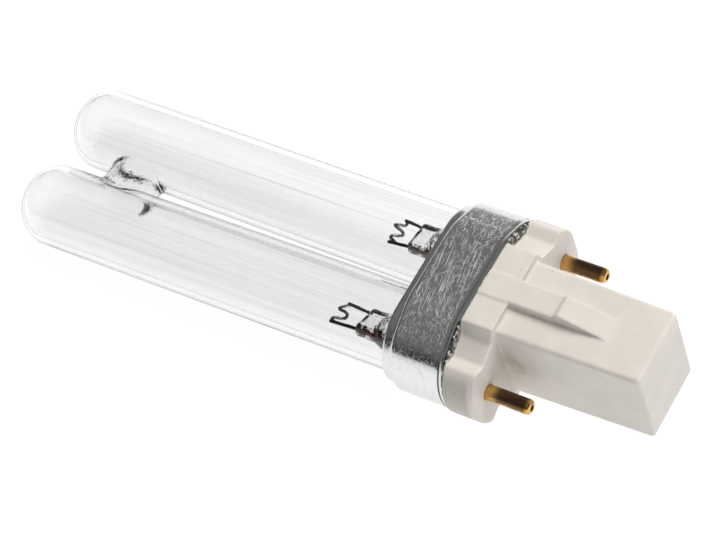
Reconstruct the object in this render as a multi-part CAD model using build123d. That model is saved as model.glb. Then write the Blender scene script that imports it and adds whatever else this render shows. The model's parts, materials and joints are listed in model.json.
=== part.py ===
from build123d import *
import math
import os

# Two-pin ultraviolet lamp with a twin-tube clear glass bulb.
# Units are millimetres. X runs along the lamp, from the closed glass tips (-X) to the
# end of the plug post (+X). Y joins the two contact pins and Z is up.
# The origin is midway between the pins, on the shoulder that they stand out of.
# Left is -Y and right is +Y, as seen from the post's end.

# ---- overall and pins ----
overall_length = 105.0
pin_pitch = 23.0
pin_radius = 1.15
pin_bore_radius = 0.75
pin_length = 7.0
pin_tip_radius = 0.6
pin_tip_hole_radius = 0.4
pin_shank_step = 0.35
pin_flange_radius = 1.75
pin_flange_thickness = 0.5

# ---- plug post ----
post_length = 21.9
post_width_root = 12.8
post_height_root = 16.0
post_taper = 0.4
post_width_end = post_width_root - 2 * post_taper
post_height_end = post_height_root - 2 * post_taper
post_edge_radius = 0.6
post_wall = 1.3

# ---- shoulder of the cap: central block, side grooves and rounded lobes ----
shoulder_depth = 5.0
block_ledge = 0.3
block_step = 1.05
block_slope = 2.25
block_foot_spread = 1.0
lobe_margin = 4.0
groove_inset = 4.8
groove_height = 10.8
lobe_edge_inset = 2.9
lobe_edge_height = 12.2
lobe_plan_radius = 3.5
lobe_cavity_corner = 2.5
cap_width = pin_pitch + 2 * lobe_margin
block_width = post_width_root + 2 * block_ledge
block_height = post_height_root + 2 * block_step
block_foot_width = block_width + 2 * block_foot_spread
block_foot_height = block_height - 2 * block_slope
groove_pitch = cap_width - 2 * groove_inset
lobe_edge_pitch = cap_width - 2 * lobe_edge_inset
cap_floor = 1.6
cap_wall = 1.5
pin_boss_radius = 2.4
pin_boss_length = 1.8

# ---- keying rib and snap tooth on both wide faces of the post ----
rib_width = 3.9
rib_rise = 0.25
rib_end = 6.7
tooth_width = 3.6
tooth_crest = 7.75
tooth_rise = 0.9
tooth_height = block_height + 2 * tooth_rise
tooth_ramp_end = 15.1

# ---- crimped metal band ----
band_sheet = 0.3
band_length = 8.8
band_neck_length = 1.7
band_inset = 0.3
band_edge_inset = 3.0
band_edge_height = 12.9
band_width = cap_width - 2 * band_inset
band_edge_pitch = band_width - 2 * band_edge_inset
band_corner_radius = 2.6
band_side_radius = 2.0
neck_glass_gap = 1.05
crimp_clearance = 0.05

# ---- glass tubes ----
tube_radius = 6.3
tube_wall = 0.9
tube_pitch_base = 14.05
tube_lean = 0.436
tube_tip_radius = 4.2
tube_tip_crown = 0.2
skirt_length = 5.0
bridge_from_tip = 13.9
bridge_radius = 4.3
bridge_flare = 0.9
bridge_bore_radius = 3.0

# ---- glass stem that closes the foot of each tube ----
stem_tube_radius = 3.1
stem_wall = 0.65
flare_length = 4.6
flare_clearance = 0.1
press_from_foot = 9.6
press_length = 2.8
press_shoulder = 1.8
press_width = 5.4
press_thickness = 2.0
exhaust_radius = 1.05
exhaust_wall = 0.45
exhaust_tail = 2.2

# ---- electrodes ----
wire_radius = 0.25
wire_seal = 0.02
wire_spread = 2.1
hook_reach = 4.3
hook_spread = 2.45
coil_radius = 0.24
coil_clearance = 0.1
left_turn = 25.0
right_turn = 14.0
wire_bend = 1.2
wire_straight = 0.3
wire_exit = 1.0
pin_entry = 0.6
coil_setback = 0.4
coil_bend = 0.3

# ---- glow starter and capacitor in the post ----
starter_radius = 3.8
starter_length = 14.5
starter_glass = 0.6
starter_base = 1.8
starter_tip_radius = 1.0
starter_gap = 1.3
starter_clearance = 0.15
starter_lead_radius = 0.2
starter_lead_spread = 1.3
starter_lead_tail = 5.4
starter_lead_bend = 0.8
starter_wire_seal = 0.1
bimetal_weld = 1.2
bimetal_lead_reach = 2.4
fixed_lead_reach = 6.0
bimetal_turn = 0.5
bimetal_width = 2.0
bimetal_sheet = 0.25
bimetal_length = 7.0
capacitor_length = 9.0
capacitor_width = 7.0
capacitor_thickness = 2.8
capacitor_edge_radius = 0.6
capacitor_lead_straight = 1.6
capacitor_lead_drop = 1.6
sleeve_radius = 0.8
sleeve_wall = 0.2
sleeve_length = 4.0

# ---- places worked out from the sizes above ----
shoulder_back = -shoulder_depth
skirt_back = shoulder_back - skirt_length
tube_foot = skirt_back
band_shoulder = shoulder_back - band_length
band_lip = band_shoulder - band_neck_length
glass_tip = post_length - overall_length
tube_bore = tube_radius - tube_wall
tube_y = tube_pitch_base / 2
pin_y = pin_pitch / 2
neck_radius = tube_radius + neck_glass_gap
press_end = tube_foot - press_from_foot - press_length
press_root = press_end + press_length
stem_end = press_root + press_shoulder
hook_x = press_end - hook_reach
starter_z = -(post_height_end / 2 - post_wall - starter_radius - starter_clearance)
starter_far = post_length - post_wall - starter_gap
starter_near = starter_far - starter_length
capacitor_z = post_height_end / 2 - post_wall - capacitor_thickness / 2 - starter_clearance
splice_x = starter_near - starter_lead_tail

LEFT = -1
RIGHT = 1
turns = {LEFT: left_turn, RIGHT: right_turn}
names = {LEFT: "left", RIGHT: "right"}


def across(x):
    """Sketch plane square to the lamp, with its own x along Y and its own y along Z."""
    return Plane(origin=(x, 0, 0), x_dir=(0, 1, 0), z_dir=(1, 0, 0))


def prism(face, x0, x1):
    """Solid of a cross section between two stations along the lamp."""
    return extrude(across(x0) * face, amount=x1 - x0)


def rod(radius, x0, x1, y=0.0, z=0.0):
    """Round bar parallel to the lamp."""
    return extrude(across(x0) * Pos(y, z) * Circle(radius), amount=x1 - x0)


def double_mirrored(corners, side_point):
    """Closed outline: the upper right corners mirrored four ways, with an arc at each side."""
    top = [(-y, z) for y, z in reversed(corners)] + list(corners)
    last_y, last_z = corners[-1]
    outline = Polyline(*top)
    outline += ThreePointArc((last_y, last_z), (side_point, 0), (last_y, -last_z))
    outline += Polyline(*[(y, -z) for y, z in reversed(top)])
    outline += ThreePointArc((-last_y, -last_z), (-side_point, 0), (-last_y, last_z))
    return make_face(outline)


def cap_outline():
    """The shoulder's cross section: block, side grooves and rounded lobes."""
    corners = [
        (block_width / 2, block_height / 2),
        (block_foot_width / 2, block_foot_height / 2),
        (groove_pitch / 2, groove_height / 2),
        (lobe_edge_pitch / 2, lobe_edge_height / 2),
    ]
    return double_mirrored(corners, cap_width / 2)


def band_outline(inset=0.0):
    """The oval that the band is drawn to, less an inset for its sheet or for a wall."""
    corners = [
        (block_width / 2, block_height / 2 + band_sheet),
        (band_edge_pitch / 2, band_edge_height / 2 + band_sheet),
    ]
    face = double_mirrored(corners, band_width / 2)
    bends = sorted(face.vertices(), key=lambda v: abs(v.Y))
    face = fillet(bends[:4], band_corner_radius)
    sides = sorted(face.vertices(), key=lambda v: abs(v.Y))[-4:]
    face = fillet(sides, band_side_radius)
    if inset:
        face = offset(face, amount=-inset)
    return face


def neck_outline(inset=0.0):
    """The slot shape of the band's narrow mouth, which follows the two tubes."""
    return SlotCenterToCenter(tube_pitch_base, 2 * (neck_radius - inset))


def plan_rounding():
    """The shoulder's outline from above, with its outer corners rounded."""
    width = cap_width + 1.0
    blank = Pos(-shoulder_depth, 0) * Rectangle(2 * shoulder_depth, cap_width)
    rounded = fillet(blank.vertices().sort_by(Axis.X)[-2:], lobe_plan_radius)
    return extrude(rounded, amount=width, both=True)


def post_body(inset=0.0, x0=0.0, x1=post_length):
    """The tapered post, or its cavity when inset by the wall."""
    def half(x, root, end):
        return root + (end - root) * x / post_length - 2 * inset
    root = Rectangle(half(x0, post_width_root, post_width_end),
                     half(x0, post_height_root, post_height_end))
    end = Rectangle(half(x1, post_width_root, post_width_end),
                    half(x1, post_height_root, post_height_end))
    body = loft([across(x0) * root, across(x1) * end])
    if not inset:
        long_edges = [e for e in body.edges() if e.bounding_box().size.X > 0.8 * (x1 - x0)]
        body = fillet(long_edges, post_edge_radius)
        body = fillet(body.faces().sort_by(Axis.X)[-1].edges(), 0.8 * post_edge_radius)
    return body


def post_surface(x):
    """Height of the post's wide face at a station."""
    return (post_height_root + (post_height_end - post_height_root) * x / post_length) / 2


def key_and_tooth():
    """The rib over the block and post, and the snap tooth beyond it, on the upper face."""
    rib_top = block_height / 2 + rib_rise
    sunk = post_height_end / 2 - post_wall / 2
    rib = Plane.XZ * make_face(Polyline(
        (shoulder_back, sunk), (shoulder_back, rib_top),
        (rib_end, rib_top), (rib_end, sunk), close=True))
    tooth = Plane.XZ * make_face(Polyline(
        (rib_end - 1, sunk), (rib_end, rib_top), (tooth_crest, tooth_height / 2),
        (tooth_ramp_end, post_surface(tooth_ramp_end)), (tooth_ramp_end, sunk), close=True))
    return extrude(rib, amount=rib_width / 2, both=True) + extrude(tooth, amount=tooth_width / 2, both=True)


def cap_cavity():
    """The hollow behind the shoulder and inside the post, open towards the tubes."""
    skirt = prism(band_outline(band_sheet + cap_wall), skirt_back, shoulder_back)
    lobes = prism(RectangleRounded(cap_width - 2 * cap_wall, groove_height - 2 * cap_wall, lobe_cavity_corner),
                  shoulder_back, -cap_floor)
    middle = prism(Rectangle(block_width - 2 * cap_wall, block_height - 2 * cap_wall),
                   shoulder_back, -cap_floor)
    bosses = [rod(pin_boss_radius, -cap_floor - pin_boss_length, -cap_floor, s * pin_y) for s in (LEFT, RIGHT)]
    post = post_body(post_wall, -2 * cap_floor, post_length - post_wall)
    return skirt + (lobes - bosses) + middle + post


def cap_housing():
    """One moulding: skirt inside the band, shoulder with grooves, keyed post with snap teeth."""
    skirt = prism(band_outline(band_sheet), skirt_back, shoulder_back)
    shoulder = prism(cap_outline(), shoulder_back, 0) & plan_rounding()
    body = skirt + shoulder + post_body()
    key = key_and_tooth()
    body += key
    body += mirror(key, about=Plane.XY)
    body -= cap_cavity()
    for side in (LEFT, RIGHT):
        body -= rod(pin_radius + pin_shank_step, -shoulder_depth, 1.0, side * pin_y)
    return body


def contact_pin(side):
    """Tubular brass pin with a rounded, pierced tip, a thicker shank in its boss and a flange behind."""
    back = -cap_floor - pin_boss_length
    body = rod(pin_radius, back, pin_length, side * pin_y)
    body = fillet(body.edges().sort_by(Axis.X)[-1], pin_tip_radius)
    body += rod(pin_radius + pin_shank_step, back, 0, side * pin_y)
    body += rod(pin_flange_radius, back - pin_flange_thickness, back, side * pin_y)
    body -= rod(pin_bore_radius, back - 1, pin_length - pin_tip_radius, side * pin_y)
    body -= rod(pin_tip_hole_radius, pin_length - 1, pin_length + 1, side * pin_y)
    return body


def crimp_tabs():
    """The parts of the band's rim that are pressed down into the four side grooves."""
    free = band_outline() - offset(cap_outline(), amount=crimp_clearance)
    middle = (block_foot_width + lobe_edge_pitch) / 4
    reach = (lobe_edge_pitch - block_foot_width) / 2
    tabs = Sketch()
    for side in (LEFT, RIGHT):
        for level in (-1, 1):
            window = Pos(side * middle, level * block_height / 2) * Rectangle(reach, block_height)
            tabs += free & window
    return prism(tabs, shoulder_back, shoulder_back + band_sheet)


def metal_band():
    """Drawn band with an oval body, a stepped mouth round the tubes and crimped rim."""
    body = prism(band_outline(), band_shoulder, shoulder_back)
    body += prism(neck_outline(), band_lip, band_shoulder)
    body -= prism(band_outline(band_sheet), band_shoulder + band_sheet, shoulder_back + 1)
    body -= prism(neck_outline(band_sheet), band_lip - 1, band_shoulder + 1)
    return body + crimp_tabs()


def tube_place(side):
    """Where a tube's own axis starts, at its foot, and how it leans away from its twin."""
    return Pos(tube_foot, side * tube_y, 0) * Rot(0, 0, -side * tube_lean)


def tube_blank(radius, foot, tip, corner):
    """Solid of revolution of a tube, from its foot to its domed tip, along its own axis."""
    profile = Polyline((foot, 0), (foot, radius), (tip + corner, radius))
    profile += RadiusArc((tip + corner, radius), (tip + tube_tip_crown, radius - corner), -corner)
    profile += Polyline((tip + tube_tip_crown, radius - corner), (tip, 0))
    profile += Line((tip, 0), (foot, 0))
    return revolve(make_face(profile), Axis.X)


def bridge_blank():
    """The waisted glass neck that joins the two tubes near their tips."""
    reach = tube_y
    edge = bridge_radius + bridge_flare
    mouth = bridge_flare * 2.6
    profile = Polyline((0, -reach), (edge, -reach), (edge, -mouth))
    profile += ThreePointArc((edge, -mouth), (bridge_radius, 0), (edge, mouth))
    profile += Polyline((edge, mouth), (edge, reach), (0, reach), (0, -reach))
    return Pos(glass_tip + bridge_from_tip, 0, 0) * revolve(make_face(profile), Axis.Y)


def glass_envelope():
    """Both tubes and the bridge between them, blown into one hollow piece."""
    length = glass_tip - tube_foot
    outside = bridge_blank()
    inside = Pos(glass_tip + bridge_from_tip, 0, 0) * Rot(90, 0, 0) * Cylinder(bridge_bore_radius, 2 * tube_y)
    for side in (LEFT, RIGHT):
        outside += tube_place(side) * tube_blank(tube_radius, 0, length, tube_tip_radius)
        inside += tube_place(side) * tube_blank(tube_bore, 1, length + tube_wall, tube_tip_radius - tube_wall)
    return outside - inside


def stem_flare():
    """The trumpet of the stem, which meets the tube's bore at the foot."""
    rim = tube_bore - flare_clearance
    narrow = tube_foot - flare_length
    outer = Spline((tube_foot, rim), (narrow, stem_tube_radius), tangents=((-0.35, -1), (-1, 0)))
    inner = Spline((narrow, stem_tube_radius - stem_wall), (tube_foot, rim - stem_wall),
                   tangents=((1, 0), (0.35, 1)))
    profile = outer + Polyline((narrow, stem_tube_radius), (stem_end, stem_tube_radius),
                               (stem_end, stem_tube_radius - stem_wall), (narrow, stem_tube_radius - stem_wall))
    profile += inner + Line((tube_foot, rim - stem_wall), (tube_foot, rim))
    return revolve(make_face(profile), Axis.X)


def glass_stem(side):
    """Flared stem with its flattened press, sealed exhaust tube and two wire seals."""
    press = RectangleRounded(press_width, press_thickness, 0.45 * press_thickness)
    body = loft([across(stem_end) * Circle(stem_tube_radius), across(press_root) * press])
    body += extrude(across(press_root) * press, amount=-press_length)
    body += stem_flare()
    exhaust = rod(exhaust_radius, stem_end, tube_foot + exhaust_tail)
    exhaust = fillet(exhaust.edges().sort_by(Axis.X)[-1], 0.6 * exhaust_radius)
    body += exhaust - rod(exhaust_radius - exhaust_wall, stem_end, tube_foot + exhaust_tail - 2 * exhaust_wall)
    for u in (-wire_spread, wire_spread):
        body -= rod(wire_radius + wire_seal, press_end - 1, tube_foot, u)
    return Pos(0, side * tube_y, 0) * Rot(-turns[side], 0, 0) * body


def electrode_point(side, x, u, lift=0.0):
    """A point of one electrode: u across the two wires and lift square to them."""
    turn = math.radians(-turns[side])
    y = u * math.cos(turn) - lift * math.sin(turn)
    z = u * math.sin(turn) + lift * math.cos(turn)
    return (x, side * tube_y + y, z)


def wire(points, radius, bend):
    """Round wire along straight runs joined by arcs."""
    path = FilletPolyline(*points, radius=bend)
    start = path @ 0
    section = Plane(origin=start, z_dir=path % 0) * Circle(radius)
    return sweep(section, path=path)


def pin_lead(side):
    """Outer support wire of one electrode, led out through the stem into its contact pin."""
    u = side * wire_spread
    points = [
        electrode_point(side, hook_x, side * hook_spread),
        electrode_point(side, press_end - wire_straight, u),
        electrode_point(side, tube_foot + wire_exit, u),
        (shoulder_back - pin_entry, side * pin_y, 0),
        (pin_length - pin_tip_radius / 2, side * pin_y, 0),
    ]
    return wire(points, wire_radius, wire_bend)


def starter_lead(side):
    """Inner support wire of one electrode, led out through the stem towards the starter."""
    u = -side * wire_spread
    points = [
        electrode_point(side, hook_x, -side * hook_spread),
        electrode_point(side, press_end - wire_straight, u),
        electrode_point(side, tube_foot + wire_exit, u),
        (splice_x - sleeve_length / 2, side * starter_lead_spread * 2, starter_z + wire_radius),
        (splice_x + sleeve_length / 2, side * starter_lead_spread * 2, starter_z + wire_radius),
    ]
    return wire(points, wire_radius, wire_bend)


def coil_points(side):
    """The zigzag in which each emitter coil hangs between its two wires."""
    reach = hook_spread - wire_radius - coil_radius - coil_clearance
    if side == LEFT:
        shape = [(0.2, 1.0), (-0.9, 0.28), (0.8, 0.0), (1.1, -0.5), (-0.2, -0.75), (0.9, -1.0)]
    else:
        shape = [(0.0, 1.0), (0.1, 0.62), (-1.2, 0.42), (0.9, -0.3), (-0.2, -0.72), (1.0, -1.0)]
    return [electrode_point(side, hook_x + coil_setback + dx, u * reach) for dx, u in shape]


def filament(side):
    """Emitter coil of one electrode, as the round envelope of its turns."""
    return wire(coil_points(side), coil_radius, coil_bend)


def basing_cement():
    """Cement that fills the band round the feet of both tubes, open at the stems."""
    body = prism(band_outline(band_sheet), band_shoulder + band_sheet, skirt_back)
    body += prism(neck_outline(band_sheet), band_lip + band_sheet, band_shoulder + band_sheet)
    length = glass_tip - tube_foot
    for side in (LEFT, RIGHT):
        body -= tube_place(side) * tube_blank(tube_radius + wire_seal, 1, length, tube_tip_radius)
    return body


def starter_bulb():
    """Small glow bulb: hollow glass with a pressed foot, two wire seals and an exhaust nib."""
    body = rod(starter_radius, starter_near, starter_far, 0, starter_z)
    body = fillet(body.edges().sort_by(Axis.X)[-1], 0.8 * starter_radius)
    body = fillet(body.edges().sort_by(Axis.X)[0], 0.3 * starter_radius)
    hollow_radius = starter_radius - starter_glass
    hollow = rod(hollow_radius, starter_near + starter_base, starter_far - starter_glass, 0, starter_z)
    hollow = fillet(hollow.edges().sort_by(Axis.X)[-1], 0.8 * hollow_radius)
    nib = Pos(starter_far, 0, starter_z) * Sphere(starter_tip_radius)
    body = (body + nib) - hollow
    for side in (LEFT, RIGHT):
        body -= rod(starter_lead_radius + wire_seal, starter_near - 1, starter_near + starter_base + starter_wire_seal,
                    side * starter_lead_spread, starter_z)
    return body


def starter_wire(side, reach):
    """Lead of the glow bulb, from inside its foot to the splice with the electrode's wire."""
    out = side * starter_lead_spread * 2
    points = [
        (starter_near + starter_base + reach, side * starter_lead_spread, starter_z),
        (starter_near - starter_lead_bend, side * starter_lead_spread, starter_z),
        (splice_x + sleeve_length / 2 + 2 * starter_lead_radius, out, starter_z - starter_lead_radius),
        (splice_x - sleeve_length / 2, out, starter_z - starter_lead_radius),
    ]
    return wire(points, starter_lead_radius, starter_lead_bend)


def bimetal_strip():
    """U-shaped bimetal strip, welded to its lead and open towards the fixed wire."""
    start = starter_near + starter_base + bimetal_weld
    inner = LEFT * (starter_lead_spread - starter_lead_radius)
    turn = bimetal_turn
    profile = Plane.XY.offset(starter_z - bimetal_width / 2) * make_face(Polyline(
        (start, inner), (start + bimetal_length, inner),
        (start + bimetal_length, inner + 2 * turn + 2 * bimetal_sheet),
        (start + bimetal_length / 2, inner + 2 * turn + 2 * bimetal_sheet),
        (start + bimetal_length / 2, inner + 2 * turn + bimetal_sheet),
        (start + bimetal_length - bimetal_sheet, inner + 2 * turn + bimetal_sheet),
        (start + bimetal_length - bimetal_sheet, inner + bimetal_sheet),
        (start, inner + bimetal_sheet), close=True))
    return extrude(profile, amount=bimetal_width)


def capacitor_body():
    """Moulded block of the capacitor that lies beside the glow bulb."""
    place = Pos(starter_near + capacitor_length / 2, 0, capacitor_z)
    return place * fillet(Box(capacitor_length, capacitor_width, capacitor_thickness).edges(), capacitor_edge_radius)


def capacitor_leads():
    """The capacitor's two wires, bent down to the glow bulb's leads."""
    leads = []
    for side in (LEFT, RIGHT):
        y = side * (starter_lead_spread * 2 + 2 * starter_lead_radius + wire_seal)
        points = [
            (starter_near, side * capacitor_width / 4, capacitor_z),
            (starter_near - capacitor_lead_straight, side * capacitor_width / 4, capacitor_z),
            (splice_x + sleeve_length / 2 + bimetal_weld, y, starter_z + capacitor_lead_drop),
        ]
        leads.append(wire(points, starter_lead_radius, starter_lead_bend))
    return Compound(leads)


def insulating_sleeve(side):
    """Glass-fibre sleeve over the splice between the electrode's wire and the starter's."""
    y = side * starter_lead_spread * 2
    z = starter_z + (wire_radius - starter_lead_radius)
    ring = Circle(sleeve_radius) - Circle(sleeve_radius - sleeve_wall)
    return prism(Pos(y, z) * ring, splice_x - sleeve_length / 2, splice_x + sleeve_length / 2)


def build():
    """Every piece by its node name."""
    pieces = {
        "glass_envelope": glass_envelope(),
        "metal_band": metal_band(),
        "cap_housing": cap_housing(),
        "basing_cement": basing_cement(),
        "starter_bulb": starter_bulb(),
        "starter_bimetal": bimetal_strip(),
        "starter_bimetal_wire": starter_wire(LEFT, bimetal_lead_reach),
        "starter_fixed_wire": starter_wire(RIGHT, fixed_lead_reach),
        "capacitor": capacitor_body(),
        "capacitor_leads": capacitor_leads(),
    }
    for side in (LEFT, RIGHT):
        name = names[side]
        pieces[name + "_contact_pin"] = contact_pin(side)
        pieces[name + "_stem"] = glass_stem(side)
        pieces[name + "_pin_lead"] = pin_lead(side)
        pieces[name + "_starter_lead"] = starter_lead(side)
        pieces[name + "_filament"] = filament(side)
        pieces[name + "_insulating_sleeve"] = insulating_sleeve(side)
    return pieces


os.makedirs("parts", exist_ok=True)
for node, shape in build().items():
    export_step(shape, "parts/" + node + ".step")
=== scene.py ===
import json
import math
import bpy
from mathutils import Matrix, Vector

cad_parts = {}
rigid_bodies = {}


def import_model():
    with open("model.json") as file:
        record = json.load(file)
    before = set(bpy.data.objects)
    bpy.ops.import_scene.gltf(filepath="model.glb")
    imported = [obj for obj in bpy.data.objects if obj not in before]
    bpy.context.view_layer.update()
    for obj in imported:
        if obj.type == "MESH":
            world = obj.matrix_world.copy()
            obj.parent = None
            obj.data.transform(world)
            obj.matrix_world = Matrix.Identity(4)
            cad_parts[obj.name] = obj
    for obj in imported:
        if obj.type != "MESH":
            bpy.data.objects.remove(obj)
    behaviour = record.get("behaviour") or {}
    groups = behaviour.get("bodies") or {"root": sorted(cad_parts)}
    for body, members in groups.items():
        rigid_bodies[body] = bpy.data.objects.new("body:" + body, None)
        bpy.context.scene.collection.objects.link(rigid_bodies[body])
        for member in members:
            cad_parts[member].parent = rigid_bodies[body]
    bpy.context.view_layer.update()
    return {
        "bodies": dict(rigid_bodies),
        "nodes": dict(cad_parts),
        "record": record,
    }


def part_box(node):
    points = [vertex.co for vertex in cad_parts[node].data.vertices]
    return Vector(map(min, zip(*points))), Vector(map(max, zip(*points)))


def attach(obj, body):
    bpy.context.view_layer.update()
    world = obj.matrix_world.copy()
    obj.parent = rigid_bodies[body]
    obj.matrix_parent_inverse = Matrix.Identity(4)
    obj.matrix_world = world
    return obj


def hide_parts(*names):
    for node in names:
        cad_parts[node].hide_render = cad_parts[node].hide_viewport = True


bl_info = {
    "name": "Twin-tube ultraviolet lamp",
    "version": (1, 0, 0),
    "blender": (4, 5, 0),
    "location": "View3D > Sidebar > Lamp",
    "description": "Dresses the two-pin ultraviolet lamp: clear glass, crimped band, moulded cap, pins and electrodes",
    "category": "Object",
}

import bmesh
import bpy
import numpy as np
from mathutils import Matrix, Vector

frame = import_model()
MM = 0.001
BODY = next(iter(frame["bodies"]))

# places along the lamp (x) and across it (y), in millimetres
TIP_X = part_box("glass_envelope")[0].x / MM
BRIDGE_X = TIP_X + 13.9
TUBE_FOOT_X = -10.0
TUBE_Y = 7.025
POST_END_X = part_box("cap_housing")[1].x / MM
PIN_FLANGE_RADIUS = 1.75
PIN_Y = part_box("right_contact_pin")[0].y / MM + PIN_FLANGE_RADIUS
PIN_TIP_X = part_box("right_contact_pin")[1].x / MM
LEFT, RIGHT = -1, 1
SIDE_NAMES = {LEFT: "left", RIGHT: "right"}


# ---------------------------------------------------------------- settings

class LampGlass(bpy.types.PropertyGroup):
    tube_radius: bpy.props.FloatProperty(
        name="Tube radius", description="Outer radius of each glass tube, in millimetres",
        default=6.3, min=4, max=8)
    wall: bpy.props.FloatProperty(
        name="Wall", description="Wall thickness of the tubes, in millimetres",
        default=0.9, min=0.5, max=1.5)
    foot_pitch: bpy.props.FloatProperty(
        name="Pitch at the foot", description="Distance between the tubes' axes at their feet, in millimetres",
        default=14.05)
    lean: bpy.props.FloatProperty(
        name="Lean", description="How far each tube leans outwards, in degrees", default=0.436)
    tip_radius: bpy.props.FloatProperty(
        name="Tip radius", description="Radius of the rounded tip of each tube, in millimetres",
        default=4.2)
    bridge_radius: bpy.props.FloatProperty(
        name="Bridge radius", description="Radius of the blown neck between the tubes, in millimetres",
        default=4.3)
    tint: bpy.props.FloatVectorProperty(
        name="Tint", description="Colour of the clear glass", subtype="COLOR", size=3, min=0, max=1,
        default=(0.945, 0.947, 0.945))


class LampBand(bpy.types.PropertyGroup):
    metal: bpy.props.FloatVectorProperty(
        name="Metal", description="Colour of the band's sheet metal", subtype="COLOR", size=3, min=0, max=1,
        default=(0.72, 0.72, 0.71))
    scratch_depth: bpy.props.FloatProperty(
        name="Scratches", description="How strongly the band is scratched", subtype="FACTOR", default=0.42,
        min=0, max=1)


class LampCap(bpy.types.PropertyGroup):
    plastic: bpy.props.FloatVectorProperty(
        name="Plastic", description="Colour of the cap's moulding", subtype="COLOR", size=3, min=0, max=1,
        default=(0.70, 0.66, 0.61))
    voxel: bpy.props.FloatProperty(
        name="Softness", description="Size of the rounding on moulded edges, in millimetres", default=0.18)
    brass: bpy.props.FloatVectorProperty(
        name="Brass", description="Colour of the pins' bright brass", subtype="COLOR", size=3, min=0, max=1,
        default=(0.80, 0.48, 0.16))


class LampElectrodes(bpy.types.PropertyGroup):
    wire_radius: bpy.props.FloatProperty(
        name="Wire radius", description="Radius of the support wires, in millimetres",
        default=0.25)
    turn_radius: bpy.props.FloatProperty(
        name="Coil radius", description="Radius of the emitter coil's turns, in millimetres",
        default=0.19)
    turn_pitch: bpy.props.FloatProperty(
        name="Coil pitch", description="Distance between the emitter coil's turns, in millimetres",
        default=0.21)
    turn_wire: bpy.props.FloatProperty(
        name="Coil wire radius", description="Radius of the emitter coil's wire, in millimetres",
        default=0.06)


def settings():
    """The values of the glass, the band, the cap and the electrodes."""
    scene = bpy.context.scene
    return scene.lamp_glass, scene.lamp_band, scene.lamp_cap, scene.lamp_electrodes


# ---------------------------------------------------------------- shader maths

def add_node(tree, kind, options, inputs):
    """Adds a node to a tree: its options or a ramp's grey stops first, then its sockets' values or links."""
    node = tree.nodes.new(kind)
    for key, value in options.items():
        if key == "stops":
            elements = node.color_ramp.elements
            while len(elements) < len(value):
                elements.new(0.5)
            for element, (place, grey) in zip(elements, value):
                element.position = place
                element.color = (grey, grey, grey, 1.0)
        else:
            setattr(node, key, value)
    for key, value in inputs.items():
        if isinstance(value, bpy.types.NodeSocket):
            tree.links.new(value, node.inputs[key])
        else:
            node.inputs[key].default_value = value
    return node


class Value:
    """A socket of a material's node tree that can be used in sums."""

    def __init__(self, tree, socket):
        self.tree = tree
        self.socket = socket

    def _math(self, operation, *others, swap=False):
        operands = [self, *others]
        if swap:
            operands.reverse()
        return self.tree.add("ShaderNodeMath", {"operation": operation}, dict(enumerate(operands)))

    def __add__(self, other):
        return self._math("ADD", other)

    def __radd__(self, other):
        return self._math("ADD", other, swap=True)

    def __sub__(self, other):
        return self._math("SUBTRACT", other)

    def __rsub__(self, other):
        return self._math("SUBTRACT", other, swap=True)

    def __mul__(self, other):
        return self._math("MULTIPLY", other)

    def __rmul__(self, other):
        return self._math("MULTIPLY", other, swap=True)

    def __abs__(self):
        return self._math("ABSOLUTE")

    def clamped(self):
        """The value kept between 0 and 1."""
        return self.tree.add("ShaderNodeClamp", {}, {0: self})

    def step(self, low, high):
        """0 below low, 1 above high and smooth between; low may be the larger one."""
        return self.tree.add("ShaderNodeMapRange", {"interpolation_type": "SMOOTHSTEP"},
                             {0: self, 1: low, 2: high, 3: 0.0, 4: 1.0})

    def near(self, centre, width):
        """1 at centre, falling to 0 at that distance from it."""
        return abs(self - centre).step(width, 0.0)

    def most(self, other):
        """The larger of two values."""
        return self._math("MAXIMUM", other)


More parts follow.
